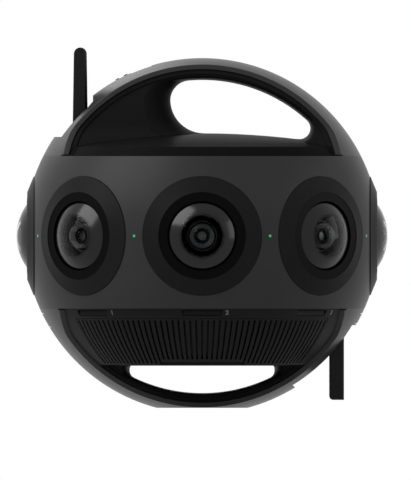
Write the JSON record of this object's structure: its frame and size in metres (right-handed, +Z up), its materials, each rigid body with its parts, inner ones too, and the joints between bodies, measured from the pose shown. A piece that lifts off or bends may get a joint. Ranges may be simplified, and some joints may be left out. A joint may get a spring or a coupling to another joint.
{
  "type": "360 degree camera",
  "caption": "Ball-shaped 360 degree camera with lenses round its band, a carrying handle, finned panels, folding antennas and a tripod socket in its flat base",
  "frame": {"origin": "middle of the flat base, on the upright line through the ball's centre, at the bottom", "axes": "+Z up; -Y is the front, which the first lens faces; +X is to the right in the front view"},
  "size_m": [0.238, 0.238, 0.231],
  "materials": {
    "ring_paint": "fine satin charcoal paint",
    "band_paint": "fine satin charcoal paint",
    "deck_plastic": "smooth dark plastic",
    "fairing_plastic": "smooth satin black plastic",
    "panel_metal": "black anodised aluminium with milled fins",
    "housing_metal": "black anodised casting",
    "bezel_plastic": "black with a soft sheen",
    "barrel_metal": "black anodised, stepped inside",
    "lens_glass": "clear coated optical glass",
    "inner_glass": "coated optical glass",
    "light_green": "lit green light pipe",
    "board_green": "solder-masked board",
    "battery_case": "moulded battery case",
    "fan_plastic": "moulded fan",
    "antenna_rubber": "soft black moulding",
    "bracket_plastic": "black moulding",
    "pin_steel": "ground pin",
    "button_plastic": "satin black",
    "display_glass": "dark display glass",
    "socket_steel": "turned steel insert",
    "screw_steel": "blackened screws"
  },
  "bodies": {
    "camera": {"antenna_brackets": "bracket_plastic", "antenna_hinge_pins": "pin_steel", "band_housing_left": "band_paint", "band_housing_right": "band_paint", "base_screws": "screw_steel", "battery_pack": "battery_case", "core_frame": "housing_metal", "display_window": "display_glass", "fan_housing": "fan_plastic", "fin_panel_front": "panel_metal", "fin_panel_rear": "panel_metal", "handle_fairing_front": "fairing_plastic", "handle_fairing_rear": "fairing_plastic", "image_sensor_boards": "board_green", "lens_barrel_1": "barrel_metal", "lens_barrel_2": "barrel_metal", "lens_barrel_3": "barrel_metal", "lens_barrel_4": "barrel_metal", "lens_barrel_5": "barrel_metal", "lens_barrel_6": "barrel_metal", "lens_barrel_7": "barrel_metal", "lens_barrel_8": "barrel_metal", "lens_bezel_1": "bezel_plastic", "lens_bezel_2": "bezel_plastic", "lens_bezel_3": "bezel_plastic", "lens_bezel_4": "bezel_plastic", "lens_bezel_5": "bezel_plastic", "lens_bezel_6": "bezel_plastic", "lens_bezel_7": "bezel_plastic", "lens_bezel_8": "bezel_plastic", "lens_front_glass_1": "lens_glass", "lens_front_glass_2": "lens_glass", "lens_front_glass_3": "lens_glass", "lens_front_glass_4": "lens_glass", "lens_front_glass_5": "lens_glass", "lens_front_glass_6": "lens_glass", "lens_front_glass_7": "lens_glass", "lens_front_glass_8": "lens_glass", "lens_inner_glasses": "inner_glass", "lower_fairing": "fairing_plastic", "lower_housing": "housing_metal", "main_board": "board_green", "ring_shell_lower": "ring_paint", "ring_shell_upper": "ring_paint", "status_light_pipes": "light_green", "top_deck": "deck_plastic", "tripod_socket": "socket_steel"},
    "antenna_upper_body": {"antenna_upper": "antenna_rubber"},
    "antenna_lower_body": {"antenna_lower": "antenna_rubber"},
    "power_button_body": {"power_button": "button_plastic"},
    "shutter_button_body": {"shutter_button": "button_plastic"},
    "side_cover_left_body": {"side_cover_left": "ring_paint"},
    "side_cover_right_body": {"side_cover_right": "ring_paint"},
    "fan_rotor_body": {"fan_rotor": "fan_plastic"},
    "card_cover_1_body": {"card_cover_1": "panel_metal"},
    "card_cover_2_body": {"card_cover_2": "panel_metal"},
    "card_cover_3_body": {"card_cover_3": "panel_metal"},
    "card_cover_4_body": {"card_cover_4": "panel_metal"},
    "card_cover_5_body": {"card_cover_5": "panel_metal"},
    "card_cover_6_body": {"card_cover_6": "panel_metal"}
  },
  "joints": [
    {"name": "antenna_upper_hinge", "type": "hinge", "parent": "camera", "child": "antenna_upper_body", "pos_m": [-0.07806, 0, 0.17896], "axis": [0, -1, 0], "range_deg": [0, 90]},
    {"name": "antenna_lower_hinge", "type": "hinge", "parent": "camera", "child": "antenna_lower_body", "pos_m": [0.08619, 0, 0.04739], "axis": [0, 1, 0], "range_deg": [-90, 45]},
    {"name": "power_button_press", "type": "slide", "parent": "camera", "child": "power_button_body", "axis": [0.4756, 0, -0.8796], "range_m": [0, 0.0006], "stiffness_N_per_m": 300, "springref_m": -0.001},
    {"name": "shutter_button_press", "type": "slide", "parent": "camera", "child": "shutter_button_body", "axis": [0.4289, 0, -0.9033], "range_m": [0, 0.0006], "stiffness_N_per_m": 300, "springref_m": -0.001},
    {"name": "card_cover_1_hinge", "type": "hinge", "parent": "camera", "child": "card_cover_1_body", "pos_m": [-0.06969, -0.06969, 0.06229], "axis": [-0.7071, 0.7071, 0], "range_deg": [0, 80]},
    {"name": "card_cover_2_hinge", "type": "hinge", "parent": "camera", "child": "card_cover_2_body", "pos_m": [0, -0.09856, 0.06229], "axis": [-1, 0, 0], "range_deg": [0, 80]},
    {"name": "card_cover_3_hinge", "type": "hinge", "parent": "camera", "child": "card_cover_3_body", "pos_m": [0.06969, -0.06969, 0.06229], "axis": [-0.7071, -0.7071, 0], "range_deg": [0, 80]},
    {"name": "card_cover_4_hinge", "type": "hinge", "parent": "camera", "child": "card_cover_4_body", "pos_m": [0.06969, 0.06969, 0.06229], "axis": [0.7071, -0.7071, 0], "range_deg": [0, 80]},
    {"name": "card_cover_5_hinge", "type": "hinge", "parent": "camera", "child": "card_cover_5_body", "pos_m": [0, 0.09856, 0.06229], "axis": [1, 0, 0], "range_deg": [0, 80]},
    {"name": "card_cover_6_hinge", "type": "hinge", "parent": "camera", "child": "card_cover_6_body", "pos_m": [-0.06969, 0.06969, 0.06229], "axis": [0.7071, 0.7071, 0], "range_deg": [0, 80]},
    {"name": "side_cover_right_hinge", "type": "hinge", "parent": "camera", "child": "side_cover_right_body", "pos_m": [0.09924, 0, 0.05409], "axis": [0, 1, 0], "range_deg": [0, 70]},
    {"name": "side_cover_left_hinge", "type": "hinge", "parent": "camera", "child": "side_cover_left_body", "pos_m": [-0.09802, 0, 0.05199], "axis": [0, -1, 0], "range_deg": [0, 70]},
    {"name": "fan_spin", "type": "hinge", "parent": "camera", "child": "fan_rotor_body", "pos_m": [0, 0, 0.1102], "axis": [0, 0, 1], "continuous": true}
  ]
}
